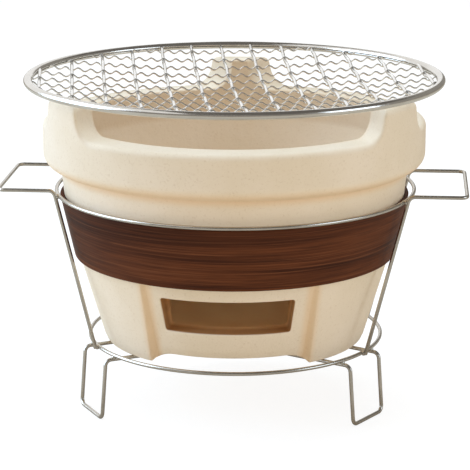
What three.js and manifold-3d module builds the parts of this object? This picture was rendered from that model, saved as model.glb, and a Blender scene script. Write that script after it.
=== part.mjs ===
// Charcoal tea stove: a clay stove body with a wood band, standing in a bent-wire stand
// with two handles and three feet, under a round grill net.
// Millimetres, Z up, floor at zero, front (air vent) towards -Y, handles along X.

import * as THREE from "three";
import { mergeVertices } from "three/addons/utils/BufferGeometryUtils.js";
import Module from "manifold-3d";

const wasm = await Module();
wasm.setup();

// Clearances
const fitGap = 0.3;
const cutOverrun = 5;

// Wire stand
const wireDiameter = 2.2;
const lowerRingHeight = 37.7;
const lowerRingMargin = 8.8;
const upperRingDrop = 14.1;
const upperRingMargin = 1.3;
const uprightHalfSpread = 41;
const uprightTail = 0.8;
const handleHalfWidth = 35;
const handleRise = 3.3;
const handleLength = 32.1;
const handleBend = 4;
const legStandOff = 3.6;
const legLean = 2.7;
const footHalfWidth = 15.5;
const footBend = 3.5;
const armLength = 46;
const footNames = ["front_left", "front_right", "rear"];
const firstFootAngle = -150;

// Clay body, outside
const drumRadius = 109.5;
const drumHeight = 43.1;
const drumRound = 7.5;
const undersideAngle = 10;
const drumOverhang = 9.8;
const neckHeight = 17;
const neckFillet = 2;
const neckTaper = 1.7;
const bandHeight = 35.9;
const bandTaper = 8.1;
const coneHeight = 50;
const coneTaper = 14.9;
const baseRound = 1.5;
const lugRound = 4;
const lugInnerRound = 1.2;

// Clay body, inside and under
const drumWall = 18.2;
const mouthDepth = 35;
const seatWall = 25;
const seatLedge = 11;
const footRingWidth = 14;
const footRecess = 6.5;
const floorThickness = 9;
const chamberHeight = 46;

// Clay body, cuts
const notchCount = 3;
const notchHalfAngle = 49.5;
const notchInnerHalfAngle = 56.4;
const notchDepth = 17.6;
const notchCorner = 13;
const notchDraftAngle = 12;
const notchEdgeRound = 3.2;
const ventWidth = 74.8;
const ventHeight = 19.6;
const ventSill = 6.2;
const ventTaper = 3;
const ventDraftAngle = 8;
const panelTopHalfWidth = 50;
const panelBottomHalfWidth = 44.6;
const panelTopDepth = 1.6;
const panelBottomDepth = 4;
const archHalfWidth = 44.2;
const archFlatHalfWidth = 30;
const archShoulder = 5;
const archHeight = 5.8;
const bodyTurn = 2.4;
const bodyShift = 0.6;

// Wood band
const bandThickness = 2.3;

// Fire grate
const grateThickness = 12;
const grateRim = 14.7;
const grateHoleRadius = 6;
const grateHoleRings = 2;
const holesPerRing = 6;

// Grill net
const netOverhang = 10.5;
const netSag = 8.5;
const netTurn = 8.8;
const rimThickness = 5;
const rimSheet = 0.5;
const rimFlange = 4;
const barDiameter = 2;
const barInset = 6.5;
const barCount = 13;
const barCrimp = 0.7;
const crossWireDiameter = 1;
const crossWireCount = 12;

// Facets
const turnSegments = 64;
const ringSegments = 60;
const wireSides = 8;
const netWireSides = 6;
const netWireSteps = 2;
const bendSteps = 4;
const roundSteps = 4;
const notchFloorSteps = 18;
const notchCornerSteps = 6;
const holeSides = 10;

const radians = THREE.MathUtils.degToRad;
const wireRadius = wireDiameter / 2;
const barRadius = barDiameter / 2;

// Heights of the stacked pieces, from the floor up
const armHeight = lowerRingHeight - wireDiameter - fitGap;
const bodyBase = armHeight + wireRadius + fitGap;
const bandBottom = bodyBase + coneHeight;
const bandTop = bandBottom + bandHeight;
const drumBottom = bandTop + neckHeight;
const bodyTop = drumBottom + drumHeight;
const chamberFloor = bodyBase + footRecess + floorThickness;
const grateSeat = chamberFloor + chamberHeight;
const notchFloor = bodyTop - notchDepth;

// Radii of the clay body, from the drum down
const neckRadius = drumRadius - drumOverhang;
const bandTopRadius = neckRadius - neckTaper;
const bandBottomRadius = bandTopRadius - bandTaper;
const baseRadius = bandBottomRadius - coneTaper;
const mouthRadius = drumRadius - drumWall;
const seatRadius = bandTopRadius - seatWall;
const chamberRadius = seatRadius - seatLedge;

// Fire grate, which drops into its seat
const grateRadius = seatRadius - fitGap;
const grateHoleSpacing = (grateRadius - grateRim - grateHoleRadius) / grateHoleRings;

// Grill net, which overhangs the drum
const netRadius = drumRadius + netOverhang;
const rimCentreRadius = netRadius - rimThickness / 2;
const meshSpacing = (2 * (rimCentreRadius - barInset)) / (barCount - 1);
const crossWireCrimp = barRadius + crossWireDiameter / 2 + fitGap - barCrimp;

// Rings of the stand, which surround the body
const upperRingHeight = drumBottom - upperRingDrop - wireRadius;
const lowerRingRadius = baseRadius + lowerRingMargin + wireRadius;
const upperRingRadius = bandTopRadius + fitGap + bandThickness + upperRingMargin + wireRadius;

// Points of a round corner about a centre, in a profile of (radius, height).
function arc(centreX, centreY, radius, fromDegrees, toDegrees, steps = roundSteps) {
  const points = [];
  for (let i = 0; i <= steps; i++) {
    const angle = radians(fromDegrees + ((toDegrees - fromDegrees) * i) / steps);
    points.push([centreX + radius * Math.cos(angle), centreY + radius * Math.sin(angle)]);
  }
  return points;
}

// A closed profile of (radius, height) turned about the vertical axis.
function revolve(profile, segments = turnSegments) {
  const points = profile.map(([radius, height]) => new THREE.Vector2(radius, height));
  return new THREE.LatheGeometry(points, segments).rotateX(Math.PI / 2);
}

// A plan or front-view shape pushed out along its normal, without bevels.
function extrude(shape, depth, curveSegments = roundSteps) {
  return new THREE.ExtrudeGeometry(shape, { depth, curveSegments, bevelEnabled: false });
}

// The boolean library's solid of a closed geometry.
function solid(geometry) {
  const bare = new THREE.BufferGeometry();
  bare.setAttribute("position", geometry.getAttribute("position"));
  bare.setIndex(geometry.index);
  const merged = mergeVertices(bare);
  const vertProperties = merged.getAttribute("position").array;
  const triVerts = new Uint32Array(merged.index.array);
  return new wasm.Manifold(new wasm.Mesh({ numProp: 3, vertProperties, triVerts }));
}

// The geometry of a boolean result.
function geometryOf(result) {
  const mesh = result.getMesh();
  const geometry = new THREE.BufferGeometry();
  geometry.setAttribute("position", new THREE.BufferAttribute(mesh.vertProperties, mesh.numProp));
  geometry.setIndex(new THREE.BufferAttribute(mesh.triVerts, 1));
  geometry.computeVertexNormals();
  return geometry;
}

// A curve through given stations, taken one by one instead of at even spacing.
class Stations extends THREE.Curve {
  constructor(points) {
    super();
    this.points = points;
  }

  getUtoTmapping(u) {
    return u;
  }

  getPoint(t) {
    return this.points[Math.round(t * (this.points.length - 1))].clone();
  }

  getTangent(t) {
    const i = Math.round(t * (this.points.length - 1));
    const here = this.points[i];
    const before = this.points[Math.max(i - 1, 0)];
    const after = this.points[Math.min(i + 1, this.points.length - 1)];
    const arriving = here.clone().sub(before).normalize();
    const leaving = after.clone().sub(here).normalize();
    return arriving.add(leaving).normalize();
  }
}

// Straight runs between corners, with each inner corner bent round to a radius.
function bentPath(corners, bendRadius) {
  const points = [corners[0]];
  for (let i = 1; i < corners.length - 1; i++) {
    const back = corners[i - 1].clone().sub(corners[i]).normalize();
    const ahead = corners[i + 1].clone().sub(corners[i]).normalize();
    const halfAngle = back.angleTo(ahead) / 2;
    const inward = back.clone().add(ahead).normalize();
    const centre = corners[i].clone().addScaledVector(inward, bendRadius / Math.sin(halfAngle));
    const start = corners[i].clone().addScaledVector(back, bendRadius / Math.tan(halfAngle));
    const axis = back.clone().cross(ahead).normalize();
    const sweep = Math.PI - 2 * halfAngle;
    for (let k = 0; k <= bendSteps; k++) {
      const spoke = start.clone().sub(centre).applyAxisAngle(axis, (-sweep * k) / bendSteps);
      points.push(centre.clone().add(spoke));
    }
  }
  points.push(corners[corners.length - 1]);
  return points;
}

// A wire along stations. Its faceted section is drawn round the wire's circle, flats down
// where it starts, unless it is twisted by an angle.
function wire(points, diameter, sides, twist = 0) {
  const cornerRadius = diameter / 2 / Math.cos(Math.PI / sides);
  const section = new THREE.Shape();
  for (let i = 0; i < sides; i++) {
    const angle = ((i + 1 / 2) * 2 * Math.PI) / sides + twist;
    const x = cornerRadius * Math.cos(angle);
    const y = cornerRadius * Math.sin(angle);
    if (i === 0) section.moveTo(x, y);
    else section.lineTo(x, y);
  }
  const steps = points.length - 1;
  const extrudePath = new Stations(points);
  return new THREE.ExtrudeGeometry(section, { steps, bevelEnabled: false, extrudePath });
}

// A closed ring of wire at a height.
function wireRing(radius, height) {
  return new THREE.TorusGeometry(radius, wireRadius, wireSides, ringSegments).translate(0, 0, height);
}

// A side wire: up the front, round the handle and down the rear, outside both rings.
function sideWire() {
  const reach = wireDiameter + fitGap;
  const lowX = Math.sqrt((lowerRingRadius + reach) ** 2 - uprightHalfSpread ** 2);
  const highX = Math.sqrt((upperRingRadius + reach) ** 2 - handleHalfWidth ** 2);
  const low = new THREE.Vector3(lowX, uprightHalfSpread, lowerRingHeight);
  const high = new THREE.Vector3(highX, handleHalfWidth, upperRingHeight);
  const perHeight = high.clone().sub(low).divideScalar(upperRingHeight - lowerRingHeight);
  const tail = low.clone().addScaledVector(perHeight, -uprightTail);
  const shoulder = high.clone().addScaledVector(perHeight, handleRise);
  const grip = shoulder.clone().setX(shoulder.x + handleLength);
  const half = [tail, shoulder, grip];
  const front = half.map((point) => new THREE.Vector3(point.x, -point.y, point.z));
  return wire(bentPath([...front, ...half.reverse()], handleBend), wireDiameter, wireSides);
}

// A foot loop that points along +Y: arm, leg, floor bar, leg, arm. The legs lean outwards,
// and the section is twisted by as much, so the floor bar lies flat.
function footLoop() {
  const armReach = lowerRingRadius + legStandOff;
  const armEnd = lowerRingRadius - armLength;
  const half = [
    new THREE.Vector3(footHalfWidth, armEnd, armHeight),
    new THREE.Vector3(footHalfWidth, armReach, armHeight),
    new THREE.Vector3(footHalfWidth, armReach + legLean, wireRadius),
  ];
  const mirrored = half.map((point) => new THREE.Vector3(-point.x, point.y, point.z));
  const twist = -Math.atan(legLean / (armHeight - wireRadius));
  return wire(bentPath([...mirrored, ...half.reverse()], footBend), wireDiameter, wireSides, twist);
}

// The outside of the clay body from the foot ring up to the lug tops.
function outerProfile() {
  const undersideEnd = drumRadius - Math.min(drumRound, drumOverhang - neckFillet);
  const round = drumRadius - undersideEnd;
  return [
    ...arc(baseRadius - baseRound, bodyBase + baseRound, baseRound, -90, 0, 2),
    [bandBottomRadius, bandBottom],
    [bandTopRadius, bandTop],
    [neckRadius, drumBottom - neckFillet],
    ...arc(undersideEnd, drumBottom + round, round, undersideAngle - 90, 0),
    ...arc(drumRadius - lugRound, bodyTop - lugRound, lugRound, 0, 90),
  ];
}

// The inside of the clay body from the mouth down to the floor's middle, then the underside.
function innerProfile() {
  const ringInner = baseRadius - footRingWidth;
  return [
    ...arc(mouthRadius + lugInnerRound, bodyTop - lugInnerRound, lugInnerRound, 90, 180, 2),
    [mouthRadius, bodyTop - mouthDepth],
    [seatRadius, grateSeat + grateThickness],
    [seatRadius, grateSeat],
    [chamberRadius, grateSeat],
    [chamberRadius, chamberFloor],
    [0, chamberFloor],
    [0, bodyBase + footRecess],
    [ringInner, bodyBase + footRecess],
    [ringInner, bodyBase],
  ];
}

// A front-view shape pushed from the axis out through the front wall. Its sides spread
// outwards by an angle from their width at a given depth.
function frontCutter(shape, atDepth, halfWidth, spreadAngle) {
  const cutter = extrude(shape, drumRadius + cutOverrun).rotateX(Math.PI / 2);
  const position = cutter.getAttribute("position");
  for (let i = 0; i < position.count; i++) {
    const spread = (-position.getY(i) - atDepth) * Math.tan(radians(spreadAngle));
    position.setX(i, position.getX(i) * (1 + spread / halfWidth));
  }
  return solid(cutter);
}

// The outline of a notch, unrolled on the drum, grown outwards by a margin. It runs down
// one leaning flank, round the corners and along the floor, and up the other flank.
function notchOutline(growth) {
  const corner = notchCorner + growth;
  const cornerX = drumRadius * radians(notchHalfAngle) - notchCorner;
  const cornerZ = notchFloor + notchCorner;
  const top = bodyTop + cutOverrun;
  const lean = Math.tan(radians(notchDraftAngle));
  const left = arc(-cornerX, cornerZ, corner, 180 + notchDraftAngle, 270, notchCornerSteps);
  const rise = top - left[0][1];
  const points = [[left[0][0] - lean * rise, top], ...left];
  for (let i = 1; i < notchFloorSteps; i++) {
    points.push([cornerX * ((2 * i) / notchFloorSteps - 1), cornerZ - corner]);
  }
  const right = [...points.slice(0, notchCornerSteps + 2)].reverse();
  points.push(...right.map(([x, z]) => [-x, z]));
  return points;
}

// One notch in the rim, cut along radii. Its flanks open inwards in angle, and its outer
// edge flares out as a quarter round. Its flat outer end lies wholly outside the drum.
function notchCutter() {
  const start = mouthRadius - 2 * cutOverrun;
  const stations = [[start, 0]];
  const flareStart = drumRadius - notchEdgeRound;
  for (const [radius, growth] of arc(flareStart, -notchEdgeRound, notchEdgeRound, 90, 10)) {
    stations.push([radius, -growth]);
  }
  const widest = notchOutline(notchEdgeRound)[0][0] / drumRadius;
  stations.push([(drumRadius + cutOverrun) / Math.cos(widest), notchEdgeRound]);
  const openPerDepth = (notchInnerHalfAngle / notchHalfAngle - 1) / drumWall;
  const positions = [];
  for (const [radius, growth] of stations) {
    const opening = 1 + openPerDepth * Math.max(drumRadius - radius, 0);
    for (const [x, z] of notchOutline(growth)) {
      const azimuth = (x * opening) / drumRadius - Math.PI / 2;
      positions.push(radius * Math.cos(azimuth), radius * Math.sin(azimuth), z);
    }
  }
  const outline = notchOutline(0);
  const count = outline.length;
  const faces = [];
  for (let ring = 0; ring < stations.length - 1; ring++) {
    for (let i = 0; i < count; i++) {
      const here = ring * count + i;
      const next = ring * count + ((i + 1) % count);
      faces.push(here, next, next + count, here, next + count, here + count);
    }
  }
  const caps = THREE.ShapeUtils.triangulateShape(outline.map(([x, z]) => new THREE.Vector2(x, z)), []);
  const last = (stations.length - 1) * count;
  for (const [a, b, c] of caps) {
    faces.push(a, c, b, last + a, last + b, last + c);
  }
  const cutter = new THREE.BufferGeometry();
  cutter.setAttribute("position", new THREE.Float32BufferAttribute(positions, 3));
  cutter.setIndex(faces);
  return solid(cutter);
}

// The air vent through the front wall into the ash chamber.
function ventCutter() {
  const halfTop = ventWidth / 2;
  const halfBottom = halfTop - ventTaper;
  const bottom = chamberFloor + ventSill;
  const top = bottom + ventHeight;
  const surface = baseRadius + (coneTaper * (top - bodyBase)) / coneHeight - panelTopDepth;
  const shape = new THREE.Shape();
  shape.moveTo(-halfBottom, bottom);
  shape.lineTo(halfBottom, bottom);
  shape.lineTo(halfTop, top);
  shape.lineTo(-halfTop, top);
  return frontCutter(shape, Math.sqrt(surface ** 2 - halfTop ** 2), halfTop, ventDraftAngle);
}

// Everything outside a cone between two heights, out past the drum.
function outsideCone(lowRadius, highRadius, bottom, top) {
  const outside = drumRadius + 2 * cutOverrun;
  return solid(revolve([
    [lowRadius, bottom],
    [outside, bottom],
    [outside, top],
    [highRadius, top],
    [lowRadius, bottom],
  ]));
}

// The set-back of the front panel: outside the set-back cone and in front of a leaning
// plane, whose edges on the outer cone are the panel's two sides.
function panelCutter() {
  const lowRadius = baseRadius - panelBottomDepth;
  const highRadius = bandBottomRadius - panelTopDepth;
  const underRun = (cutOverrun * (highRadius - lowRadius)) / coneHeight;
  const setBack = outsideCone(lowRadius - underRun, highRadius, bodyBase - cutOverrun, bandBottom);
  const lowDepth = Math.sqrt(baseRadius ** 2 - panelBottomHalfWidth ** 2);
  const highDepth = Math.sqrt(bandBottomRadius ** 2 - panelTopHalfWidth ** 2);
  const outside = drumRadius + 3 * cutOverrun;
  const side = new THREE.Shape();
  side.moveTo(lowDepth, bodyBase);
  side.lineTo(lowDepth, bodyBase - 2 * cutOverrun);
  side.lineTo(outside, bodyBase - 2 * cutOverrun);
  side.lineTo(outside, bandBottom + cutOverrun);
  side.lineTo(highDepth, bandBottom + cutOverrun);
  side.lineTo(highDepth, bandBottom);
  const slab = extrude(side, 2 * outside).translate(0, 0, -outside);
  const toFront = new THREE.Matrix4().makeBasis(
    new THREE.Vector3(0, -1, 0),
    new THREE.Vector3(0, 0, 1),
    new THREE.Vector3(-1, 0, 0),
  );
  return setBack.intersect(solid(slab.applyMatrix4(toFront)));
}

// The low arch under the front panel, cut through the foot ring only.
function archCutter() {
  const top = bodyBase + archHeight;
  const shape = new THREE.Shape();
  shape.moveTo(-archHalfWidth, bodyBase - cutOverrun);
  shape.lineTo(archHalfWidth, bodyBase - cutOverrun);
  shape.lineTo(archHalfWidth, bodyBase);
  shape.quadraticCurveTo(archHalfWidth - archShoulder, top, archFlatHalfWidth, top);
  shape.lineTo(-archFlatHalfWidth, top);
  shape.quadraticCurveTo(archShoulder - archHalfWidth, top, -archHalfWidth, bodyBase);
  const ringInner = baseRadius - footRingWidth - cutOverrun;
  const ring = outsideCone(ringInner, ringInner, bodyBase - 2 * cutOverrun, bodyBase + footRecess);
  return frontCutter(shape, 0, archHalfWidth, 0).intersect(ring);
}

// The clay body: turned blank less its notches, front panel, arch and vent.
function clayBody() {
  const outline = [...outerProfile(), ...innerProfile()];
  let body = solid(revolve([...outline, outline[0]]));
  const notch = notchCutter();
  for (let i = 0; i < notchCount; i++) {
    body = body.subtract(notch.rotate([0, 0, (360 * i) / notchCount]));
  }
  body = body.subtract(panelCutter()).subtract(archCutter()).subtract(ventCutter());
  return geometryOf(body);
}

// The wood band: a thin hoop that follows the cone between its two edges.
function woodBand() {
  const inner = fitGap;
  const outer = fitGap + bandThickness;
  return revolve([
    [bandBottomRadius + inner, bandBottom],
    [bandBottomRadius + outer, bandBottom],
    [bandTopRadius + outer, bandTop],
    [bandTopRadius + inner, bandTop],
    [bandBottomRadius + inner, bandBottom],
  ]);
}

// The fire grate: a round plate with one middle hole and rings of holes about it.
function fireGrate() {
  const plate = new THREE.Shape();
  for (let i = 0; i < turnSegments; i++) {
    const angle = (2 * Math.PI * i) / turnSegments;
    const x = grateRadius * Math.cos(angle);
    const y = grateRadius * Math.sin(angle);
    if (i === 0) plate.moveTo(x, y);
    else plate.lineTo(x, y);
  }
  const centres = [[0, 0]];
  for (let ring = 1; ring <= grateHoleRings; ring++) {
    for (let i = 0; i < holesPerRing * ring; i++) {
      const angle = (2 * Math.PI * i) / (holesPerRing * ring);
      const radius = grateHoleSpacing * ring;
      centres.push([radius * Math.cos(angle), radius * Math.sin(angle)]);
    }
  }
  for (const [x, y] of centres) {
    const hole = new THREE.Path();
    for (let i = 0; i < holeSides; i++) {
      const angle = (-2 * Math.PI * i) / holeSides;
      const holeX = x + grateHoleRadius * Math.cos(angle);
      const holeY = y + grateHoleRadius * Math.sin(angle);
      if (i === 0) hole.moveTo(holeX, holeY);
      else hole.lineTo(holeX, holeY);
    }
    plate.holes.push(hole);
  }
  return extrude(plate, grateThickness).translate(0, 0, grateSeat + fitGap);
}

// The net is dished: its middle hangs below its rim. The bars touch down on the lugs.
const dishShareAtLug = (mouthRadius / rimCentreRadius) ** 2;
const netMiddle = bodyTop + fitGap + barRadius + barCrimp - netSag * dishShareAtLug;

// Height of the weave's middle at a distance from the axis.
function dish(radius) {
  return netMiddle + netSag * (radius / rimCentreRadius) ** 2;
}

// The rim: one sheet folded over the edge, its cavity open inwards along the dish's slope.
function netRim() {
  const half = rimThickness / 2;
  const hollow = half - rimSheet;
  const slope = Math.atan((2 * netSag) / rimCentreRadius);
  const centreHeight = dish(rimCentreRadius);
  const section = [
    [-rimFlange, -half],
    ...arc(0, 0, half, -90, 90, 6),
    [-rimFlange, half],
    [-rimFlange, hollow],
    ...arc(0, 0, hollow, 90, -90, 4),
    [-rimFlange, -hollow],
    [-rimFlange, -half],
  ];
  const turned = section.map(([along, across]) => [
    rimCentreRadius + along * Math.cos(slope) - across * Math.sin(slope),
    centreHeight + along * Math.sin(slope) + across * Math.cos(slope),
  ]);
  return revolve(turned);
}

// One wire of the weave along Y, at an offset from the middle. It bends over and under the
// wires that cross it, starting above the first one where its side is 1, below it where -1.
function wovenWire(offset, side, crossCount, diameter, crimp) {
  const halfLength = Math.sqrt((rimCentreRadius - diameter / 2) ** 2 - offset ** 2);
  const firstCross = (-meshSpacing * (crossCount - 1)) / 2;
  const places = [-halfLength];
  for (let i = 0; i <= netWireSteps * (crossCount - 1); i++) {
    const along = firstCross + (meshSpacing * i) / netWireSteps;
    if (Math.abs(along) < halfLength - diameter) places.push(along);
  }
  places.push(halfLength);
  const points = places.map((along) => {
    const bend = side * crimp * Math.cos((Math.PI * (along - firstCross)) / meshSpacing);
    return new THREE.Vector3(offset, along, dish(Math.hypot(offset, along)) + bend);
  });
  return wire(points, diameter, netWireSides);
}

// Offset of one of a number of evenly spaced wires from the middle.
const meshOffset = (i, count) => (i - (count - 1) / 2) * meshSpacing;

// Materials, one for each piece
const clay = () => new THREE.MeshStandardMaterial({ color: 0xe6dccb, roughness: 0.9, metalness: 0 });
const darkClay = () => new THREE.MeshStandardMaterial({ color: 0xa98f72, roughness: 0.95, metalness: 0 });
const walnut = () => new THREE.MeshStandardMaterial({ color: 0x4a2a1c, roughness: 0.45, metalness: 0 });
const steel = () => new THREE.MeshStandardMaterial({ color: 0xb9b7b2, roughness: 0.3, metalness: 1 });

function piece(name, geometry, material) {
  const mesh = new THREE.Mesh(geometry, material);
  mesh.name = name;
  return mesh;
}

// Assembly: the stand, the body turned a little in it, and the net turned on the lugs
const stove = new THREE.Group();
const stand = new THREE.Group();
const body = new THREE.Group();
const net = new THREE.Group();
stove.add(stand, body, net);

stand.add(piece("upper_ring", wireRing(upperRingRadius, upperRingHeight), steel()));
stand.add(piece("lower_ring", wireRing(lowerRingRadius, lowerRingHeight), steel()));
for (const [name, turn] of [["right", 0], ["left", Math.PI]]) {
  const side = piece(`side_wire_${name}`, sideWire(), steel());
  side.rotation.z = turn;
  stand.add(side);
}
for (let i = 0; i < footNames.length; i++) {
  const azimuth = firstFootAngle + (360 * i) / footNames.length;
  const foot = piece(`foot_${footNames[i]}`, footLoop(), steel());
  foot.rotation.z = radians(azimuth - 90);
  stand.add(foot);
}

body.rotation.z = radians(bodyTurn);
body.position.x = -bodyShift;
body.add(piece("clay_body", clayBody(), clay()));
body.add(piece("wood_band", woodBand(), walnut()));
body.add(piece("fire_grate", fireGrate(), darkClay()));

net.rotation.z = radians(netTurn);
net.position.x = -bodyShift;
net.add(piece("net_rim", netRim(), steel()));
for (let i = 0; i < barCount; i++) {
  const side = i % 2 === 0 ? -1 : 1;
  const bar = wovenWire(meshOffset(i, barCount), side, crossWireCount, barDiameter, barCrimp);
  net.add(piece(`net_bar_${String(i + 1).padStart(2, "0")}`, bar, steel()));
}
for (let i = 0; i < crossWireCount; i++) {
  const side = i % 2 === 0 ? 1 : -1;
  const offset = -meshOffset(i, crossWireCount);
  const cross = wovenWire(offset, side, barCount, crossWireDiameter, crossWireCrimp);
  const mesh = piece(`net_wire_${String(i + 1).padStart(2, "0")}`, cross, steel());
  mesh.rotation.z = -Math.PI / 2;
  net.add(mesh);
}

export default stove;
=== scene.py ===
import bpy
import numpy as np
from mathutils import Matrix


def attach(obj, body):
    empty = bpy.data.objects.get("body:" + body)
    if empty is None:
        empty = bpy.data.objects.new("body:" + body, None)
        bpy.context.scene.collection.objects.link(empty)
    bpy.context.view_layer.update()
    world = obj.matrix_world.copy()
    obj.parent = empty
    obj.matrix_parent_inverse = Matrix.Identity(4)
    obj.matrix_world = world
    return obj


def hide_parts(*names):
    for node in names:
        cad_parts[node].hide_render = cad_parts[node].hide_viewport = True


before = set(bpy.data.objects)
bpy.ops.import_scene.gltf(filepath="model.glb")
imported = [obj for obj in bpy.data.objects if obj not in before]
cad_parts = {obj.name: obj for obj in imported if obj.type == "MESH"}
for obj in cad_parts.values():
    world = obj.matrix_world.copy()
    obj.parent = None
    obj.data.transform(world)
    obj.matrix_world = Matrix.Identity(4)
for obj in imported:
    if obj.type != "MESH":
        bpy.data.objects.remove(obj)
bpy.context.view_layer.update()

scene = bpy.context.scene

# Camera
# A long lens a little over a metre away, looking down at the stove from slightly to its
# right, as in the photograph.
camera = bpy.data.objects.new("camera", bpy.data.cameras.new("camera"))
camera.data.sensor_width = 36
camera.data.lens = 163.06
camera.location = (0.09394, -1.19665, 0.39646)
camera.rotation_euler = np.radians([75.907, 0, 4.5])
scene.collection.objects.link(camera)
scene.camera = camera
scene.view_settings.view_transform = "Standard"

# Wire stand
# Two wire rings, two side wires that bend out into the handles, and three foot loops, all of
# plated steel wire, bent cold and spot welded where they cross.
wire_radius = 1.1
ring_places = {"upper_ring": (103.0, 124.3), "lower_ring": (84.9, 37.7)}
ring_steps = 180
upright_low = (77.19, 41.0, 37.7)
upright_high = (99.53, 35.0, 124.3)
upright_tail = 0.8
handle_rise, handle_length, handle_bend = 3.3, 32.1, 4.0
side_guide = (0.5, 0.3, -0.81)
foot_half_width, foot_bend = 15.5, 3.5
bend_steps = 10
arm_end, arm_reach, foot_reach = 38.9, 88.5, 91.2
arm_height = 35.2
foot_guide = (1, 1, 1)
foot_azimuths = {"foot_front_left": -150, "foot_front_right": -30, "foot_rear": 90}
weld_size, weld_inset = 1.5, 1.2
weld_pole, weld_rows, weld_facet = 80, 7, 30
arm_weld_reach, arm_weld_height = 83.4, 36.4


def skin(name, rings, closed=False, uv=None):
    """A mesh from a grid of points in millimetres, one row for each ring. Neighbouring rings
    are joined by quads, and each ring closes on itself. A closed row of rings joins its last
    to its first; an open one is shut by a fan round the middle of each end ring."""
    count, around = rings.shape[:2]
    index = np.arange(count * around).reshape(count, around)
    here = index if closed else index[:-1]
    after = np.roll(index, -1, 0) if closed else index[1:]
    quads = np.stack([here, np.roll(here, -1, 1), np.roll(after, -1, 1), after], 2).reshape(-1, 4)
    points = rings.reshape(-1, 3)
    faces = quads.tolist()
    if not closed:
        points = np.vstack([points, rings[0].mean(0), rings[-1].mean(0)])
        first, last = index[0], index[-1]
        start, end = np.full(around, count * around), np.full(around, count * around + 1)
        faces += np.stack([start, np.roll(first, -1), first], 1).tolist()
        faces += np.stack([end, last, np.roll(last, -1)], 1).tolist()
    mesh = bpy.data.meshes.new(name)
    mesh.from_pydata(points / 1000, [], faces)
    if uv is not None:
        uv = np.vstack([uv.reshape(-1, 2), uv[0].mean(0), uv[-1].mean(0)])
        corner_points = np.empty(len(mesh.loops), dtype=np.int32)
        mesh.loops.foreach_get("vertex_index", corner_points)
        layer = mesh.uv_layers.new(name="grain")
        layer.data.foreach_set("uv", (uv[corner_points] / 1000).astype(np.float32).ravel())
    mesh.shade_smooth()
    mesh.validate()
    piece = bpy.data.objects.new(name, mesh)
    scene.collection.objects.link(piece)
    return piece


def ring_points(radius, turn, height):
    """Points round the upright axis: (radius * cos(turn), radius * sin(turn), height)."""
    radius, turn, height = np.broadcast_arrays(radius, turn, height)
    return np.stack([radius * np.cos(turn), radius * np.sin(turn), height], -1)


def bent(corners, bends, steps=8):
    """Corner points with each inner one replaced by an arc of its bend radius, tangent to
    both runs: centre + radius * (sin(angle) * across - cos(angle) * inward)."""
    corners = np.asarray(corners, dtype=float)
    before, here, after = corners[:-2], corners[1:-1], corners[2:]
    back = (before - here) / np.linalg.norm(before - here, axis=1, keepdims=True)
    ahead = (after - here) / np.linalg.norm(after - here, axis=1, keepdims=True)
    half = np.arccos(np.clip((back * ahead).sum(1), -1, 1))[:, None] / 2
    inward = (back + ahead) / np.linalg.norm(back + ahead, axis=1, keepdims=True)
    across = (ahead - back) / np.linalg.norm(ahead - back, axis=1, keepdims=True)
    radius = np.broadcast_to(bends, len(here)).reshape(-1, 1).astype(float)
    centre = here + inward * radius / np.sin(half)
    angle = (np.pi / 2 - half) * np.linspace(-1, 1, steps + 1)
    arcs = centre[:, None] + radius[:, None] * (
        np.sin(angle)[..., None] * across[:, None] - np.cos(angle)[..., None] * inward[:, None]
    )
    return np.vstack([corners[:1], arcs.reshape(-1, corners.shape[1]), corners[-1:]])


def tube(path, radius, guide, sides=16, closed=False):
    """Rings round a path: each is path + radius * (cos(turn) * one + sin(turn) * other), where
    one and other are square to the path's direction and to each other, taken from a guide
    direction. The ends of an open path are drawn in to a chamfer of a quarter of the radius."""
    chamfer = 0.25
    path = np.asarray(path, dtype=float)
    radii = np.full(len(path), float(radius))
    if closed:
        heading = np.roll(path, -1, 0) - np.roll(path, 1, 0)
    else:
        heading = np.gradient(path, axis=0)
        lead = path[0] + chamfer * radius * heading[0] / np.linalg.norm(heading[0])
        trail = path[-1] - chamfer * radius * heading[-1] / np.linalg.norm(heading[-1])
        path = np.vstack([path[0], lead, path[1:-1], trail, path[-1]])
        heading = np.vstack([heading[:1], heading, heading[-1:]])
        radii = np.concatenate([[(1 - chamfer) * radius], radii, [(1 - chamfer) * radius]])
    heading /= np.linalg.norm(heading, axis=1, keepdims=True)
    one = np.cross(heading, guide)
    one /= np.linalg.norm(one, axis=1, keepdims=True)
    other = np.cross(heading, one)
    turn = 2 * np.pi * np.arange(sides)[:, None] / sides
    return path[:, None] + radii[:, None, None] * (
        np.cos(turn) * one[:, None] + np.sin(turn) * other[:, None]
    )


def turned(points, degrees, shift=0.0):
    """Points turned about the upright axis, then shifted along X."""
    angle = np.radians(degrees)
    x, y, z = np.moveaxis(np.asarray(points, dtype=float), -1, 0)
    return np.stack([
        x * np.cos(angle) - y * np.sin(angle) + shift, x * np.sin(angle) + y * np.cos(angle), z,
    ], -1)


def paint(red, green, blue):
    """A colour written as on a screen, 0 to 255, as the linear values that a shader takes."""
    part = np.array([red, green, blue]) / 255
    linear = np.where(part <= 0.04045, part / 12.92, ((part + 0.055) / 1.055) ** 2.4)
    return (*linear, 1.0)


def node(finish, kind, inputs=None, **settings):
    """Adds a node to a material, with its settings, and sets or links each of its inputs."""
    made = finish.node_tree.nodes.new(kind)
    for key, value in settings.items():
        setattr(made, key, value)
    for key, value in (inputs or {}).items():
        if isinstance(value, bpy.types.NodeSocket):
            finish.node_tree.links.new(value, made.inputs[key])
        else:
            made.inputs[key].default_value = value
    return made


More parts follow.
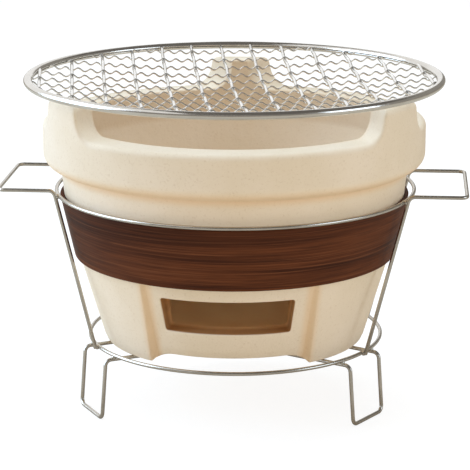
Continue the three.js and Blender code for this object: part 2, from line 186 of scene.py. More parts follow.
def noise(finish, place, scale, detail, roughness=0.5, distortion=0.0):
    """Cloudy noise in a material, between 0 and 1, with about scale clouds to a unit of place."""
    return node(finish, "ShaderNodeTexNoise", {
        "Vector": place, "Scale": scale, "Detail": detail, "Roughness": roughness,
        "Distortion": distortion,
    }).outputs["Fac"]


def remap(finish, value, run, onto=(0.0, 1.0), kind="LINEAR"):
    """A value in a material whose run between two places is drawn onto another run, and which
    stays level past both ends."""
    return node(finish, "ShaderNodeMapRange", {
        "Value": value, "From Min": run[0], "From Max": run[1], "To Min": onto[0], "To Max": onto[1],
    }, interpolation_type=kind).outputs["Result"]


def ramp(finish, factor, stops):
    """A colour ramp over a factor, from (place, colour) stops."""
    made = node(finish, "ShaderNodeValToRGB", {"Fac": factor})
    for place, colour in stops[1:-1]:
        made.color_ramp.elements.new(place)
    for element, (place, colour) in zip(made.color_ramp.elements, stops):
        element.position = place
        element.color = colour
    return made.outputs["Color"]


def new_finish(name):
    """A new material and its surface shader."""
    finish = bpy.data.materials.new(name)
    finish.use_nodes = True
    return finish, finish.node_tree.nodes["Principled BSDF"]


def dress(finish, shader, colour, roughness, relief):
    """Links a material's colour, roughness and relief to its surface shader."""
    for source, socket in ((colour, "Base Color"), (roughness, "Roughness"), (relief, "Normal")):
        finish.node_tree.links.new(source, shader.inputs[socket])


def plated(name, light, dark, low_rough, high_rough, grain):
    """Plated steel: cloudy between two greys, its gloss uneven, with fine drawing marks."""
    finish, shader = new_finish(name)
    place = node(finish, "ShaderNodeTexCoord").outputs["Object"]
    cloud = noise(finish, place, scale=55.0, detail=4.0)
    marks = noise(finish, place, scale=grain, detail=3.0)
    tone = ramp(finish, cloud, [(0.3, dark), (0.7, light)])
    gloss = remap(finish, marks, (0.3, 0.7), (low_rough, high_rough))
    relief = node(finish, "ShaderNodeBump", {"Height": marks, "Strength": 0.12, "Distance": 0.00005})
    dress(finish, shader, tone, gloss, relief.outputs["Normal"])
    shader.inputs["Metallic"].default_value = 1.0
    return finish


stand_steel = plated(
    "plated_wire", paint(205, 200, 191), paint(188, 182, 172), low_rough=0.2, high_rough=0.27, grain=420.0,
)


def stand_piece(name, rings, closed=False):
    """A piece of the stand, from the rings of its surface."""
    piece = skin(name, rings, closed)
    piece.data.materials.append(stand_steel)
    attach(piece, "stand")
    return piece


ring_turn = 2 * np.pi * np.arange(ring_steps) / ring_steps
for name, (radius, height) in ring_places.items():
    circle = tube(ring_points(radius, ring_turn, height), wire_radius, (0, 0, 1), closed=True)
    ring = stand_piece("stand_" + name, circle, True)
    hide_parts(name)

low, high = np.array(upright_low), np.array(upright_high)
rise = (high - low) / (high[2] - low[2])
shoulder = high + handle_rise * rise
grip = shoulder + (handle_length, 0, 0)
rear_half = np.array([low - upright_tail * rise, shoulder, grip])
side_route = bent(np.vstack([rear_half * (1, -1, 1), rear_half[::-1]]), handle_bend, bend_steps)
for name, degrees in (("side_wire_right", 0), ("side_wire_left", 180)):
    side_rings = turned(tube(side_route, wire_radius, side_guide), degrees)
    side_wire = stand_piece("stand_" + name, side_rings)
    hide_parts(name)

foot_half = np.array([
    (-foot_half_width, arm_end, arm_height),
    (-foot_half_width, arm_reach, arm_height),
    (-foot_half_width, foot_reach, wire_radius),
])
foot_route = bent(np.vstack([foot_half, foot_half[::-1] * (-1, 1, 1)]), foot_bend, bend_steps)
for name, azimuth in foot_azimuths.items():
    foot_rings = turned(tube(foot_route, wire_radius, foot_guide), azimuth - 90)
    foot = stand_piece("stand_" + name, foot_rings)
    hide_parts(name)

# The welds: a small ball of metal between each upright and each ring that it crosses, and between
# each foot's two arms and the lower ring above them.
crossings = np.array([low, high])
crossings[:, :2] *= 1 - weld_inset / np.linalg.norm(crossings[:, :2], axis=1, keepdims=True)
arm_weld = np.array([foot_half_width, arm_weld_reach, arm_weld_height])
weld_places = [turned(point * (1, side, 1), degrees)
               for degrees in (0, 180) for side in (1, -1) for point in crossings]
weld_places += [turned(arm_weld * (side, 1, 1), azimuth - 90)
                for azimuth in foot_azimuths.values() for side in (1, -1)]
weld_fall = np.radians(np.linspace(-weld_pole, weld_pole, weld_rows))[:, None]
weld_turn = np.radians(np.arange(0, 360, weld_facet))[None]
bead = weld_size * ring_points(np.cos(weld_fall), weld_turn, np.sin(weld_fall))
for number, place in enumerate(weld_places, 1):
    stand_piece(f"weld_{number:02d}", place + bead)

# Clay body
# A thick-walled bowl turned and carved from light clay: a drum with three wide notches and
# three lugs round its rim, a cone under it, and a front panel with the air vent, set back in the
# cone. It stands on the arms of the foot loops.
body_turn, body_shift = 2.4, -0.6
base_z, band_low_z, band_high_z, neck_z, drum_z, top_z = 36.6, 86.6, 122.5, 138.95, 147.0, 182.6
base_r, band_low_r, band_high_r, neck_r, drum_r = 75.0, 89.9, 98.0, 99.7, 109.5
cone_end_r, cone_end_z, overhang_r, overhang_z = 90.0, 87.1, 104.8, 139.85
band_top_bend, neck_bend = 6.0, 2.0
mouth_r, mouth_z, seat_r, seat_top_z, seat_z = 91.3, 147.6, 73.0, 110.1, 98.1
chamber_r, chamber_z, foot_ring_r, underside_z = 62.0, 52.1, 61.0, 43.1
mouth_bend, seat_bend, ledge_bend, chamber_bend, floor_bend = 8.0, 1.5, 0.6, 1.5, 3.0
underside_rings, floor_middle_r = (6.0, 30.0, 52.0), 3.0
mouth_wall_end, mouth_bend_start = 5.0, 4.0
notch_azimuths = (-90, 30, 150)
notch_z, notch_corner, notch_lean = 165.0, 13.0, 12.0
notch_half_angle, notch_inner_half_angle = 49.5, 56.4
foot_round, drum_round = 1.5, 7.5
recess_edge, foot_inner_edge, foot_outer_edge = (0.8, 0.4), (0.5, 0.3), 2.0
notch_round, lug_round, inner_round, lug_corner = 3.2, 4.0, 1.2, 4.2
panel_low, panel_high, panel_flank = (71.0, 44.6), (88.3, 50.0), 3.4
fine_start, fine_end = 57.0, 72.0
arch_half_width, arch_flat, arch_height, arch_power = 44.2, 30.0, 5.8, 2.4
vent_low, vent_high, vent_aside = (35.5, 57.9), (37.4, 78.3), -1.0
vent_depth, vent_spread, vent_corner, vent_round = 77.1, 8.0, 1.6, 0.7
vent_inner, vent_outer, vent_over, vent_steps = 46.0, 96.0, (0.8, 3.6), 200
flare_end, flare_rows = 12, 7
middle_points, panel_points, floor_end_points = 39, 38, 8
corner_points, flank_points, lug_points, lug_top_points = 11, 5, 9, 8
foot_rows, foot_round_angles, cone_rows, neck_rows = 6, (-60, -30, 0), 27, 5
under_start, under_rows, drum_rows, outer_edge_rows = -80, 11, 13, 8
rim_rows, inner_edge_rows, mouth_rows, bowl_rows = 9, 5, 7, 5

# The rim's edge, unrolled on the drum from the middle of a notch to the middle of a lug, as
# its place along and up, the direction into the clay, and the radius of its outer round. Its
# points lie closer where the columns of the grid run down over the panel's flanks.
floor_end = drum_r * np.radians(notch_half_angle) - notch_corner
lean = np.radians(notch_lean)
corner_turn = np.linspace(-np.pi / 2, -lean, corner_points)
corner_x = floor_end + notch_corner * np.cos(corner_turn)
corner_z = notch_z + notch_corner * (1 + np.sin(corner_turn))
lug_turn = np.linspace(-lean, -np.pi / 2, lug_points)
flank_top = top_z - lug_corner * (1 - np.sin(lean))
flank_z = np.linspace(corner_z[-1], flank_top, flank_points)[1:]
flank_x = corner_x[-1] + (flank_z - corner_z[-1]) * np.tan(lean)
lug_x = flank_x[-1] + lug_corner * (np.cos(lean) - np.cos(lug_turn))
lug_z = top_z - lug_corner * (1 + np.sin(lug_turn))
lug_middle = drum_r * np.pi / 3
floor_x = np.concatenate([
    np.linspace(0, fine_start, middle_points), np.linspace(fine_start, fine_end, panel_points)[1:],
    np.linspace(fine_end, floor_end, floor_end_points)[1:-1],
])
top_x = np.linspace(lug_x[-1], lug_middle, lug_top_points)[1:]
edge_x = np.concatenate([floor_x, corner_x, flank_x, lug_x[1:], top_x])
edge_z = np.concatenate([
    np.full(len(floor_x), notch_z), corner_z, flank_z, lug_z[1:], np.full(len(top_x), top_z),
])
into = np.concatenate([
    np.full(len(floor_x), -np.pi / 2), corner_turn, np.full(len(flank_x), -lean), lug_turn[1:],
    np.full(len(top_x), -np.pi / 2),
])
edge_round = np.interp(edge_x, [flank_x[-1], lug_x[-1]], [notch_round, lug_round])
mirror = np.concatenate([-np.ones(len(edge_x) - 2), np.ones(len(edge_x))])
both = np.concatenate([np.arange(len(edge_x) - 2, 0, -1), np.arange(len(edge_x))])
sector = np.repeat(np.radians(notch_azimuths), len(both))
edge_x, edge_z, into_x, into_z, edge_round = (np.tile(value, 3) for value in (
    mirror * edge_x[both], edge_z[both], mirror * np.cos(into[both]), np.sin(into[both]), edge_round[both],
))
wall_top_x = edge_x + edge_round * into_x
wall_top_z = edge_z + edge_round * into_z
wall_turn = sector + wall_top_x / drum_r
opening = (notch_inner_half_angle / notch_half_angle - 1) / (drum_r - mouth_r)
flank_turn = flank_x[-1] / drum_r


def notch_turn(along, radius):
    """Azimuth of a place along the rim's edge. Inwards the notches widen in angle in
    proportion to the depth, and the lugs narrow by as much."""
    turn = along / drum_r
    share = np.where(np.abs(turn) <= flank_turn, turn, np.sign(turn) * flank_turn
                     * (np.pi / 3 - np.abs(turn)) / (np.pi / 3 - flank_turn))
    return sector + turn + opening * (drum_r - radius) * share


def cone_radius(turn, height):
    """Outside radius below the band: the cone, less the front panel's set-back, which comes in
    over a short flank from the panel's edge as a smooth step, 3 s^2 - 2 s^3."""
    share = (height - base_z) / (band_low_z - base_z)
    cone = base_r + (band_low_r - base_r) * share
    set_back = panel_low[0] + (panel_high[0] - panel_low[0]) * share
    edge = np.arcsin((panel_low[1] + (panel_high[1] - panel_low[1]) * share) / cone)
    front = np.abs((turn + 3 * np.pi / 2) % (2 * np.pi) - np.pi)
    step = np.clip((edge - front) * cone / panel_flank, 0, 1)
    return cone - (cone - set_back) * step ** 2 * (3 - 2 * step)


def arch_lift(radius):
    """How far the foot ring's underside is raised in front: the arch's height times
    1 - (1 - s)^power, where s runs from 0 at the arch's ends to 1 at its flat middle."""
    aside = np.abs(radius * np.cos(wall_turn))
    slope = np.clip((arch_half_width - aside) / (arch_half_width - arch_flat), 0, 1)
    return np.where(np.sin(wall_turn) < 0, arch_height * (1 - (1 - slope) ** arch_power), 0.0)


# Rows of the grid, from the middle of the underside round the outside and over the rim to the
# middle of the ash chamber's floor.
rows = [ring_points(r, wall_turn, underside_z) for r in (*underside_rings, foot_ring_r - recess_edge[0])]
rows.append(ring_points(foot_ring_r, wall_turn, underside_z - recess_edge[1]))
rows.append(ring_points(foot_ring_r, wall_turn, base_z + arch_lift(foot_ring_r) + foot_inner_edge[1]))
outer_foot_z = base_z + arch_lift(base_r - foot_outer_edge)
inner_foot_r = foot_ring_r + foot_inner_edge[0]
foot_r = cone_radius(wall_turn, outer_foot_z) - foot_round
for share in np.linspace(0, 1, foot_rows):
    radius = inner_foot_r + share * (foot_r - inner_foot_r)
    rows.append(ring_points(radius, wall_turn, base_z + arch_lift(radius)))
for angle in np.radians(foot_round_angles):
    rows.append(ring_points(foot_r + foot_round * np.cos(angle), wall_turn,
                            outer_foot_z + foot_round * (1 + np.sin(angle))))
for share in np.linspace(0, 1, cone_rows)[1:]:
    height = outer_foot_z + foot_round + share * (band_low_z - outer_foot_z - foot_round)
    rows.append(ring_points(cone_radius(wall_turn, height), wall_turn, height))
neck = bent([
    (cone_end_r, cone_end_z), (band_high_r, band_high_z), (neck_r, neck_z), (overhang_r, overhang_z),
], [band_top_bend, neck_bend], steps=neck_rows)[:-1]
under_turn = np.radians(np.linspace(under_start, 0, under_rows))
under = np.stack([drum_r - drum_round + drum_round * np.cos(under_turn),
                  drum_z + drum_round * np.sin(under_turn)], 1)
rows += [ring_points(radius, wall_turn, height) for radius, height in np.vstack([neck, under])]
for share in np.linspace(0, 1, drum_rows)[1:]:
    rows.append(ring_points(drum_r, wall_turn, drum_z + share * (wall_top_z - drum_z)))
for angle in np.radians(np.linspace(0, 90, outer_edge_rows)[1:]):
    radius = drum_r - edge_round * (1 - np.cos(angle))
    grown = edge_round * (1 - np.sin(angle))
    rows.append(ring_points(radius, notch_turn(edge_x + grown * into_x, radius), edge_z + grown * into_z))
for share in np.linspace(0, 1, rim_rows)[1:]:
    radius = drum_r - edge_round - share * (drum_r - edge_round - mouth_r - inner_round)
    rows.append(ring_points(radius, notch_turn(edge_x, radius), edge_z))
for angle in np.radians(np.linspace(90, 0, inner_edge_rows)[1:]):
    grown = inner_round * (1 - np.sin(angle))
    rows.append(ring_points(mouth_r + inner_round * (1 - np.cos(angle)),
                            notch_turn(edge_x + grown * into_x, mouth_r), edge_z + grown * into_z))
inner_turn = notch_turn(edge_x + inner_round * into_x, mouth_r)
inner_top = edge_z + inner_round * into_z
for share in np.linspace(0, 1, mouth_rows)[1:]:
    rows.append(ring_points(mouth_r, inner_turn, inner_top + share * (mouth_z + mouth_wall_end - inner_top)))
bowl = bent([
    (mouth_r, mouth_z + mouth_bend_start), (mouth_r, mouth_z), (seat_r, seat_top_z), (seat_r, seat_z),
    (chamber_r, seat_z), (chamber_r, chamber_z), (floor_middle_r, chamber_z),
], [mouth_bend, seat_bend, ledge_bend, chamber_bend, floor_bend], steps=bowl_rows)
rows += [ring_points(radius, inner_turn, height) for radius, height in bowl]
clay_body = skin("clay_bowl", turned(np.array(rows), body_turn, body_shift))

# The air vent's cutter: a trapezoid with rounded corners, carried out along the panel's depth.
# Its sides spread outwards, and its mouth flares as a quarter round on the panel's surface.
sill_x, sill_z = vent_low
head_x, head_z = vent_high
outline = bent([
    (0, sill_z), (sill_x, sill_z), (head_x, head_z), (-head_x, head_z), (-sill_x, sill_z), (0, sill_z),
], vent_corner) + (vent_aside, 0)
walked = np.concatenate([[0], np.cumsum(np.linalg.norm(np.diff(outline, axis=0), axis=1))])
evenly = (np.arange(vent_steps) + 0.5) / vent_steps * walked[-1]
outline = np.stack([np.interp(evenly, walked, outline[:, i]) for i in (0, 1)], 1)
along = np.roll(outline, -1, 0) - np.roll(outline, 1, 0)
outward = np.stack([along[:, 1], -along[:, 0]], 1) / np.linalg.norm(along, axis=1, keepdims=True)


def vent_ring(depth, grown, fixed=False):
    """The vent's outline grown outwards, at a depth from the panel's surface or, where fixed,
    from the upright axis. Its width grows with the depth from the axis."""
    x, z = (outline + grown * outward).T
    set_back = panel_low[0] + (panel_high[0] - panel_low[0]) * (z - base_z) / (band_low_z - base_z)
    reach = np.sqrt(set_back ** 2 - x ** 2)
    y = np.full(len(x), depth) if fixed else reach + depth
    spread = 1 + (np.minimum(y, reach) - vent_depth) * np.tan(np.radians(vent_spread)) / head_x
    return np.stack([x * spread, -y, z], 1)


flare = np.radians(np.linspace(90, flare_end, flare_rows))
mouth_grown = vent_round * (1 - np.sin(flare[-1])) + vent_over[1]
vent_rings = [vent_ring(vent_inner, 0, True), vent_ring(-2 * vent_round, 0)]
vent_rings += [vent_ring(-vent_round * (1 - np.cos(a)), vent_round * (1 - np.sin(a))) for a in flare]
vent_rings += [vent_ring(vent_over[0], mouth_grown), vent_ring(vent_outer, mouth_grown, True)]
vent_cutter = skin("vent_cutter", turned(np.array(vent_rings), body_turn, body_shift))
cut = clay_body.modifiers.new("vent", "BOOLEAN")
cut.object = vent_cutter
cut.solver = "EXACT"
pierced = bpy.data.meshes.new_from_object(clay_body.evaluated_get(bpy.context.evaluated_depsgraph_get()))
clay_body.modifiers.clear()
clay_body.data = pierced
bpy.data.objects.remove(vent_cutter)
clay_body.modifiers.new("even_shading", "WEIGHTED_NORMAL")


def blend(finish, share, under, over):
    """One colour laid over another in a material, by a share from 0 to 1."""
    return node(finish, "ShaderNodeMix", {
        "Factor": share, "A": under, "B": over,
    }, data_type="RGBA").outputs["Result"]


def reckon(finish, operation, first, *others):
    """Arithmetic in a material: the first value with the second, their result with the third,
    and so on."""
    for other in others:
        first = node(finish, "ShaderNodeMath", {0: first, 1: other}, operation=operation).outputs[0]
    return first


def apart(finish, one, other):
    """How far apart two values in a material are."""
    difference = reckon(finish, "SUBTRACT", one, other)
    return node(finish, "ShaderNodeMath", {0: difference}, operation="ABSOLUTE").outputs[0]


def baked_clay(name, pale, warm, deep, speck, shade_painter=None):
    """Baked clay: slow patches between two tones, a sandy grain of darker specks, and a skin
    that is rough to the touch. A function may paint shade and light into its colour by place."""
    finish, shader = new_finish(name)
    place = node(finish, "ShaderNodeTexCoord").outputs["Object"]
    patch = noise(finish, place, scale=14.0, detail=5.0, roughness=0.6)
    sand = noise(finish, place, scale=750.0, detail=3.0, roughness=0.7)
    pit = noise(finish, place, scale=210.0, detail=2.0)
    tone = ramp(finish, patch, [(0.35, warm), (0.65, pale)])
    colour = blend(finish, remap(finish, sand, (0.56, 0.74), (0.0, speck)), tone, deep)
    # Painted shade and painted reflected light by place, where the piece has them.
    if shade_painter:
        colour = shade_painter(finish, place, colour)
    fine = node(finish, "ShaderNodeBump", {"Height": sand, "Strength": 0.35, "Distance": 0.0003})
    coarse = node(finish, "ShaderNodeBump", {
        "Height": pit, "Strength": 0.3, "Distance": 0.0006, "Normal": fine.outputs["Normal"],
    })
    gloss = remap(finish, pit, (0.3, 0.7), (0.72, 0.88))
    dress(finish, shader, colour, gloss, coarse.outputs["Normal"])
    return finish


# Painted shade and painted reflected light on the bowl, each over the millimetres on which it
# comes in: painted brown shade on the vent's walls, painted warm reflected light in the ash
# chamber, and painted warm shade in the creases, along the panel's edges and inside the mouth.
vent_wall_painted_shade, chamber_painted_light, warm_painted_shade = paint(190, 141, 88), paint(255, 208, 144), paint(226, 186, 134)
behind_panel, wall_to_chamber = (0.6, 1.6), (9.0, 15.0)
under_seat, over_floor = (99.0, 94.0), (46.0, 50.0)
crease_z, crease_fade, crease_outside_r = 139.5, (6.5, 1.0), 96.0
panel_edge_inset, panel_edge_fade, panel_front_y = 3.0, (6.0, 1.0), -30.0
mouth_fade = (94.5, 91.5)
painted_shade_strength, painted_mouth_strength = 0.45, 0.2


def bowl_painted_light_and_shade(finish, place, colour):
    """The clay's colour with painted shade and painted reflected light over it. Each share is a
    product of runs: of the place's height, of its distance from the axis and, along the panel's
    edges, of its distance from the nearer edge. Where two painted warm shades meet, the stronger
    one holds."""
    place = node(finish, "ShaderNodeVectorMath", {0: place, "Scale": 1000.0}, operation="SCALE")
    place = place.outputs["Vector"]
    axes = node(finish, "ShaderNodeSeparateXYZ", {"Vector": place})
    depth, height = axes.outputs["Y"], axes.outputs["Z"]
    level = node(finish, "ShaderNodeVectorMath", {0: place, 1: (1, 1, 0)}, operation="MULTIPLY")
    from_axis = node(finish, "ShaderNodeVectorMath", {0: level.outputs["Vector"]}, operation="LENGTH")
    from_axis = from_axis.outputs["Value"]

    cone_run = (base_z, band_low_z)
    surface = remap(finish, height, cone_run, (panel_low[0], panel_high[0]))
    behind = reckon(finish, "SUBTRACT", surface, from_axis)
    # Painted brown shade on the vent's walls, turning to painted warm reflected light deeper in the ash
    # chamber, within the panel's surface and between the floor and the seat.
    inner_painted_shade = ramp(finish, remap(finish, behind, wall_to_chamber), [(0, vent_wall_painted_shade), (1, chamber_painted_light)])
    inside = reckon(
        finish, "MULTIPLY", remap(finish, height, under_seat), remap(finish, height, over_floor),
        remap(finish, behind, behind_panel, kind="SMOOTHSTEP"),
    )

    # Painted warm shade in the crease under the drum, on the outside only.
    near_crease = remap(
        finish, apart(finish, height, crease_z), crease_fade, (0.0, painted_shade_strength), "SMOOTHSTEP")
    outside = reckon(finish, "GREATER_THAN", from_axis, crease_outside_r)
    under_drum = reckon(finish, "MULTIPLY", near_crease, outside)

    # Painted warm shade along the panel's edges, in front and below the band.
    sideways = (np.cos(np.radians(body_turn)), np.sin(np.radians(body_turn)), 0)
    aside = node(finish, "ShaderNodeVectorMath", {0: place, 1: sideways}, operation="DOT_PRODUCT")
    from_middle = apart(finish, aside.outputs["Value"], body_shift)
    panel_edge = remap(finish, height, cone_run,
                       (panel_low[1] - panel_edge_inset, panel_high[1] - panel_edge_inset))
    near_edge = remap(
        finish, apart(finish, from_middle, panel_edge), panel_edge_fade, (0.0, painted_shade_strength), "SMOOTHSTEP")
    in_front = reckon(finish, "LESS_THAN", depth, panel_front_y)
    below_band = reckon(finish, "LESS_THAN", height, band_low_z)
    beside_panel = reckon(finish, "MULTIPLY", in_front, below_band, near_edge)

    # Painted warm shade on the wall of the mouth, above the seat.
    over_seat = reckon(finish, "GREATER_THAN", height, seat_z)
    in_mouth = reckon(
        finish, "MULTIPLY", remap(finish, from_axis, mouth_fade, (0.0, painted_mouth_strength)), over_seat)
    # The strongest of the three painted warm shades holds, laid over the painted shade and light of the vent
    # and the chamber.
    warm = reckon(finish, "MAXIMUM", under_drum, beside_panel, in_mouth)
    return blend(finish, warm, blend(finish, inside, colour, inner_painted_shade), warm_painted_shade)


# The clay body's material carries the bowl's painted shade and painted reflected light.
clay_body.data.materials.append(baked_clay(
    "light_clay", paint(234, 221, 202), paint(227, 213, 190), paint(190, 164, 130), speck=0.35,
    shade_painter=bowl_painted_light_and_shade,
))
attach(clay_body, "clay")
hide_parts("clay_body")

# Wood band
# A thin strip of dark stained walnut, steamed and bent round the cone, its grain running
# along it, butt-jointed at the rear and held by its taper.
band_gap, band_thickness = 0.3, 2.3
band_inner_edge, band_outer_edge, band_joint = 0.4, 0.8, 0.4
band_steps, band_edge_steps = 361, 5
inner_low = np.array([band_low_r + band_gap, band_low_z])
inner_high = np.array([band_high_r + band_gap, band_high_z])
across = np.array([band_thickness, 0])
middle = (inner_low + inner_high) / 2
section = bent(
    [middle, inner_high, inner_high + across, inner_low + across, inner_low, middle],
    [band_inner_edge, band_outer_edge, band_outer_edge, band_inner_edge], steps=band_edge_steps,
)[:-1]
joint_turn = band_joint / 2 / band_high_r
turn = np.linspace(joint_turn, 2 * np.pi - joint_turn, band_steps) + np.pi / 2
band_rings = ring_points(section[None, :, 0], turn[:, None], section[None, :, 1])
unrolled = np.stack(np.broadcast_arrays(turn[:, None] * band_high_r, section[None, :, 1]), -1)
band = skin("walnut_band", turned(band_rings, body_turn, body_shift), uv=unrolled)
band.modifiers.new("even_shading", "WEIGHTED_NORMAL")

walnut, shader = new_finish("stained_walnut")
grain_place = node(walnut, "ShaderNodeUVMap", uv_map="grain").outputs["UV"]


def streaks(along, across, detail):
    """Noise drawn out along the strip, from its waves a metre along and across it."""
    drawn = node(walnut, "ShaderNodeMapping", {"Vector": grain_place, "Scale": (along, across, 1.0)})
    return noise(walnut, drawn.outputs["Vector"], 1.0, detail, roughness=0.6, distortion=0.3)


figure = streaks(along=4.0, across=130.0, detail=6.0)
lines = streaks(along=6.0, across=900.0, detail=3.0)
pores = streaks(along=30.0, across=1700.0, detail=2.0)
broad = ramp(walnut, figure, [
    (0.3, paint(44, 20, 11)), (0.45, paint(74, 38, 21)), (0.58, paint(98, 54, 31)),
    (0.72, paint(60, 30, 17)),
])
lined = blend(walnut, remap(walnut, lines, (0.52, 0.72), (0.0, 0.6)), broad, paint(128, 78, 50))
stained = blend(walnut, remap(walnut, pores, (0.5, 0.75), (0.0, 0.7)), lined, paint(36, 17, 11))
sheen = remap(walnut, figure, (0.3, 0.7), (0.5, 0.64))
relief = node(walnut, "ShaderNodeBump", {"Height": pores, "Strength": 0.3, "Distance": 0.0002})
dress(walnut, shader, stained, sheen, relief.outputs["Normal"])
shader.inputs["Specular IOR Level"].default_value = 0.1
band.data.materials.append(walnut)
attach(band, "clay")
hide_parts("wood_band")

# Fire grate
# A round plate of darker fired clay with nineteen air holes, which drops into its seat in the
# bowl and carries the charcoal.
grate_r, grate_z, grate_thickness = 72.7, 98.4, 12.0
hole_r, hole_spacing, holes_per_ring, grate_edge = 6.0, 26.0, 6, 0.9
grate_steps, hole_steps = 144, 40
circles = [(0.0, 0.0, grate_r - grate_edge, grate_steps), (0.0, 0.0, hole_r + grate_edge, hole_steps)]
for ring in (1, 2):
    turn = 2 * np.pi * np.arange(holes_per_ring * ring) / (holes_per_ring * ring)
    circles += [(x, y, hole_r + grate_edge, hole_steps)
                for x, y, _ in ring_points(hole_spacing * ring, turn, 0.0)]
plate = bpy.data.curves.new("grate_outline", "CURVE")
plate.dimensions = "2D"
plate.fill_mode = "BOTH"
plate.extrude = (grate_thickness / 2 - grate_edge) / 1000
plate.bevel_depth = grate_edge / 1000
plate.bevel_resolution = 3
for x, y, radius, steps in circles:
    turn = 2 * np.pi * np.arange(steps) / steps
    circle = ((x, y, 0) + ring_points(radius, turn, 0.0)) / 1000
    spline = plate.splines.new("POLY")
    spline.points.add(steps - 1)
    spline.points.foreach_set("co", np.column_stack([circle, np.ones(steps)]).ravel())
    spline.use_cyclic_u = True
drawn = bpy.data.objects.new("grate_drawn", plate)
scene.collection.objects.link(drawn)
grate_mesh = bpy.data.meshes.new_from_object(drawn.evaluated_get(bpy.context.evaluated_depsgraph_get()))
bpy.data.objects.remove(drawn)
points = np.empty(len(grate_mesh.vertices) * 3)
grate_mesh.vertices.foreach_get("co", points)
points = turned(points.reshape(-1, 3) * 1000, body_turn, body_shift) + (0, 0, grate_z + grate_thickness / 2)
grate_mesh.vertices.foreach_set("co", (points / 1000).ravel())
grate_mesh.shade_smooth()
grate = bpy.data.objects.new("grate_plate", grate_mesh)
scene.collection.objects.link(grate)
grate.modifiers.new("even_shading", "WEIGHTED_NORMAL")
grate_mesh.materials.clear()
grate_mesh.materials.append(baked_clay(
    "grate_clay", paint(188, 160, 126), paint(170, 140, 106), paint(122, 94, 66), speck=0.5,
))
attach(grate, "grate")
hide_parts("fire_grate")

# Grill net
# A shallow dish of thirteen straight steel wires and twelve thin crimped ones, woven over and
# under each other, with a rim of sheet steel folded over their ends.
net_turn = 8.8
rim_r, rim_half, rim_rise, rim_sheet, rim_pinch = 117.5, 2.5, 2.2, 0.5, 5.0
rim_steps, fold_steps = 360, 29
mesh_pitch = 18.5
bar_count, bar_r, bar_bend, bar_step, bar_sides = 13, 1.0, 0.65, 1.6, 14
thread_count, thread_r, thread_crimp, thread_step, thread_sides = 12, 0.5, 0.88, 0.62, 10
waves_per_mesh = 2.5
net_middle, net_sag = 179.47, 8.5


def dish(radius):
    """Height of the weave's middle: the middle's height plus the sag by the radius squared."""
    return net_middle + net_sag * (radius / rim_r) ** 2


fold_turn = np.radians(np.linspace(180 - rim_pinch, rim_pinch - 180, fold_steps))
outer_fold, inner_fold = (
    np.stack([(rim_half - inset) * np.cos(fold_turn), (rim_rise - inset) * np.sin(fold_turn)], 1)
    for inset in (0.0, rim_sheet)
)
across, up = np.vstack([outer_fold, inner_fold[::-1]]).T
slope = np.arctan(2 * net_sag / rim_r)
section_r = rim_r + across * np.cos(slope) - up * np.sin(slope)
section_z = dish(rim_r) + across * np.sin(slope) + up * np.cos(slope)
turn = 2 * np.pi * np.arange(rim_steps) / rim_steps
rim = skin("folded_rim", turned(
    ring_points(section_r[None], turn[:, None], section_z[None]), net_turn, body_shift,
), True)
rim.data.materials.append(plated(
    "rim_steel", paint(228, 225, 219), paint(212, 208, 201), low_rough=0.14, high_rough=0.2, grain=300.0,
))
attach(rim, "net")
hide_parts("net_rim")

net_steel = plated(
    "net_steel", paint(248, 247, 245), paint(236, 235, 232), low_rough=0.16, high_rough=0.24, grain=600.0,
)


def net_wire(name, route, radius, guide, sides, stood_for):
    """A wire of the net, from its route, and the CAD node that it stands for."""
    piece = skin(name, turned(tube(route, radius, guide, sides), net_turn, body_shift))
    piece.data.materials.append(net_steel)
    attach(piece, "net")
    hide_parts(stood_for)


# Each straight wire follows the dish and bends over and under the crimped ones by a cosine of one
# wave in two meshes. Each crimped one follows it in two and a half smaller waves to a mesh.
bar_middle, thread_middle = (bar_count - 1) / 2, (thread_count - 1) / 2
for i in range(bar_count):
    x = (i - bar_middle) * mesh_pitch
    half_length = np.sqrt((rim_r - bar_r) ** 2 - x ** 2)
    y = np.linspace(-half_length, half_length, 1 + 2 * int(half_length / bar_step))
    z = dish(np.hypot(x, y)) - bar_bend * np.cos(np.pi * (y / mesh_pitch + thread_middle + i))
    route = np.stack([np.full(len(y), x), y, z], 1)
    net_wire(f"straight_wire_{i + 1:02d}", route, bar_r, (1, 0, 0), bar_sides, f"net_bar_{i + 1:02d}")
for i in range(thread_count):
    y = (i - thread_middle) * mesh_pitch
    half_length = np.sqrt((rim_r - thread_r) ** 2 - y ** 2)
    x = np.linspace(-half_length, half_length, 1 + 2 * int(half_length / thread_step))
    wave = 2 * np.pi * waves_per_mesh * (x / mesh_pitch + bar_middle) + np.pi * i
    z = dish(np.hypot(x, y)) + thread_crimp * np.cos(wave)
    route = np.stack([x, np.full(len(x), y), z], 1)
    net_wire(f"crimped_wire_{i + 1:02d}", route, thread_r, (0, 1, 0), thread_sides, f"net_wire_{i + 1:02d}")

# Floor and light
# A plain pale floor that takes the stove's shadow, under a plain sky, with four broad soft
# lamps: a strong one on the left, a weaker one on the right, one above and one in front.
floor_reach = 8.0
stove_middle = (0, 0, 0.11)


def stage_sheet(name, finish, points):
    """A sheet of the stage from a grid of points in metres, its neighbours joined by quads."""
    rows, columns = points.shape[:2]
    index = np.arange(rows * columns).reshape(rows, columns)
    quads = np.stack([index[:-1, :-1], index[:-1, 1:], index[1:, 1:], index[1:, :-1]], -1).reshape(-1, 4)
    mesh = bpy.data.meshes.new(name)
    mesh.from_pydata(points.reshape(-1, 3), [], quads.tolist())
    mesh.materials.append(finish)
    sheet = bpy.data.objects.new(name, mesh)
    scene.collection.objects.link(sheet)
    return sheet


def cleared(setting):
    """A material or a world with its nodes taken out."""
    setting.use_nodes = True
    setting.node_tree.nodes.clear()
    return setting
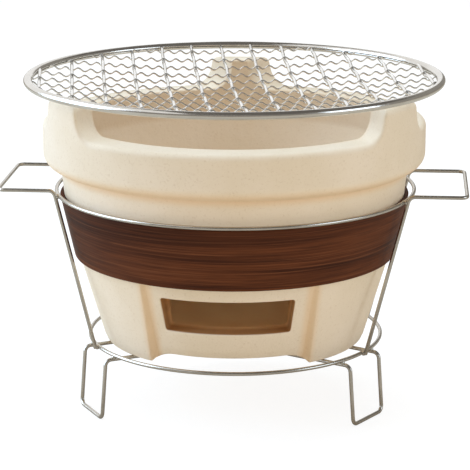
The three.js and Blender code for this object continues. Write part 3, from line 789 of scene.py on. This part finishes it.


# The floor lights the stove as a warm diffuse sheet. Gloss sees it greyer, a painted darker
# reflection, and the camera sees it nearly white, with a faint shadow.
pale = cleared(bpy.data.materials.new("pale_floor"))
plain = node(pale, "ShaderNodeBsdfDiffuse", {"Color": (0.82, 0.71, 0.57, 1)})
# A greyer floor seen only in gloss: a painted darker reflection.
painted_reflection_grey = node(pale, "ShaderNodeBsdfDiffuse", {"Color": (0.55, 0.5, 0.43, 1)})
shade = node(pale, "ShaderNodeBsdfDiffuse", {"Color": (0.24, 0.25, 0.26, 1)})
glow = node(pale, "ShaderNodeEmission", {"Strength": 0.84})
bright = node(pale, "ShaderNodeAddShader", {0: shade.outputs[0], 1: glow.outputs[0]})
path = node(pale, "ShaderNodeLightPath").outputs
either = node(pale, "ShaderNodeMixShader", {
    0: path["Is Glossy Ray"], 1: plain.outputs[0], 2: painted_reflection_grey.outputs[0],
})
either = node(pale, "ShaderNodeMixShader", {
    0: path["Is Camera Ray"], 1: either.outputs[0], 2: bright.outputs[0],
})
node(pale, "ShaderNodeOutputMaterial", {"Surface": either.outputs[0]})
stage_sheet("floor", pale, floor_reach * np.array([[(-1, -1, 0), (1, -1, 0)], [(-1, 1, 0), (1, 1, 0)]]))

# The sky lights the stove softly and warmly, and is white where it is seen.
sky = cleared(bpy.data.worlds.new("sky"))
scene.world = sky
air = node(sky, "ShaderNodeBackground", {"Color": (1, 0.88, 0.73, 1), "Strength": 0.47})
white = node(sky, "ShaderNodeBackground", {"Color": (1, 1, 1, 1), "Strength": 1.0})
path = node(sky, "ShaderNodeLightPath").outputs
seen = reckon(sky, "MAXIMUM", path["Is Camera Ray"], path["Is Glossy Ray"], path["Is Transmission Ray"])
either = node(sky, "ShaderNodeMixShader", {0: seen, 1: air.outputs[0], 2: white.outputs[0]})
node(sky, "ShaderNodeOutputWorld", {"Surface": either.outputs[0]})

# A dark curtain round the camera's side and the right, and a dark cloth hung over the stove and
# its right: dimly glowing sheets which only gloss shows, painted dark reflections in the metal.
curtain_r, curtain_z, curtain_ends = 3.0, (0.05, 2.2), (-147, 82)
cloth_r, cloth_x, cloth_ends = 2.9, (-0.9, 4.0), (38, 140)
hung_steps = 27
curtain_turn = np.radians(np.linspace(*curtain_ends, hung_steps))[None]
cloth_turn = np.radians(np.linspace(*cloth_ends, hung_steps))[:, None]
for name, tone, points in (
    ("curtain", (0.3, 0.285, 0.26, 1), ring_points(curtain_r, curtain_turn, np.array(curtain_z)[:, None])),
    ("cloth", (0.16, 0.15, 0.14, 1), np.stack(np.broadcast_arrays(
        np.linspace(*cloth_x, hung_steps), -cloth_r * np.cos(cloth_turn), cloth_r * np.sin(cloth_turn),
    ), -1)),
):
    dark = cleared(bpy.data.materials.new("dark_" + name))
    # A dim glow in the sheet's tone, seen only as a painted dark reflection.
    dark_reflection_glow = node(dark, "ShaderNodeEmission", {"Color": tone, "Strength": 1.0})
    node(dark, "ShaderNodeOutputMaterial", {"Surface": dark_reflection_glow.outputs[0]})
    hung = stage_sheet(name, dark, points)
    hung.visible_camera = hung.visible_diffuse = hung.visible_transmission = hung.visible_shadow = False

for name, place, size, power, colour, in_gloss in (
    ("left_lamp", (-1.45, 0.0, 0.6), 1.5, 26.5, (0.55, 0.75, 1.0), True),
    ("right_lamp", (1.3, -0.5, 0.5), 0.8, 5.0, (0.74, 0.86, 1.0), True),
    ("top_lamp", (-0.1, 0.3, 1.6), 1.3, 20.5, (0.74, 0.88, 1.0), False),
    ("front_lamp", (0.3, -2.4, 0.8), 1.0, 5.6, (1.0, 0.86, 0.7), False),
):
    light = bpy.data.lights.new(name, "AREA")
    light.size = size
    light.energy = power
    light.color = colour
    lamp = bpy.data.objects.new(name, light)
    lamp.location = place
    aim = np.subtract(stove_middle, place)
    tilt = np.arctan2(np.hypot(aim[0], aim[1]), -aim[2])
    lamp.rotation_euler = (tilt, 0, np.arctan2(aim[0], -aim[1]) + np.pi)
    lamp.visible_glossy = in_gloss
    scene.collection.objects.link(lamp)
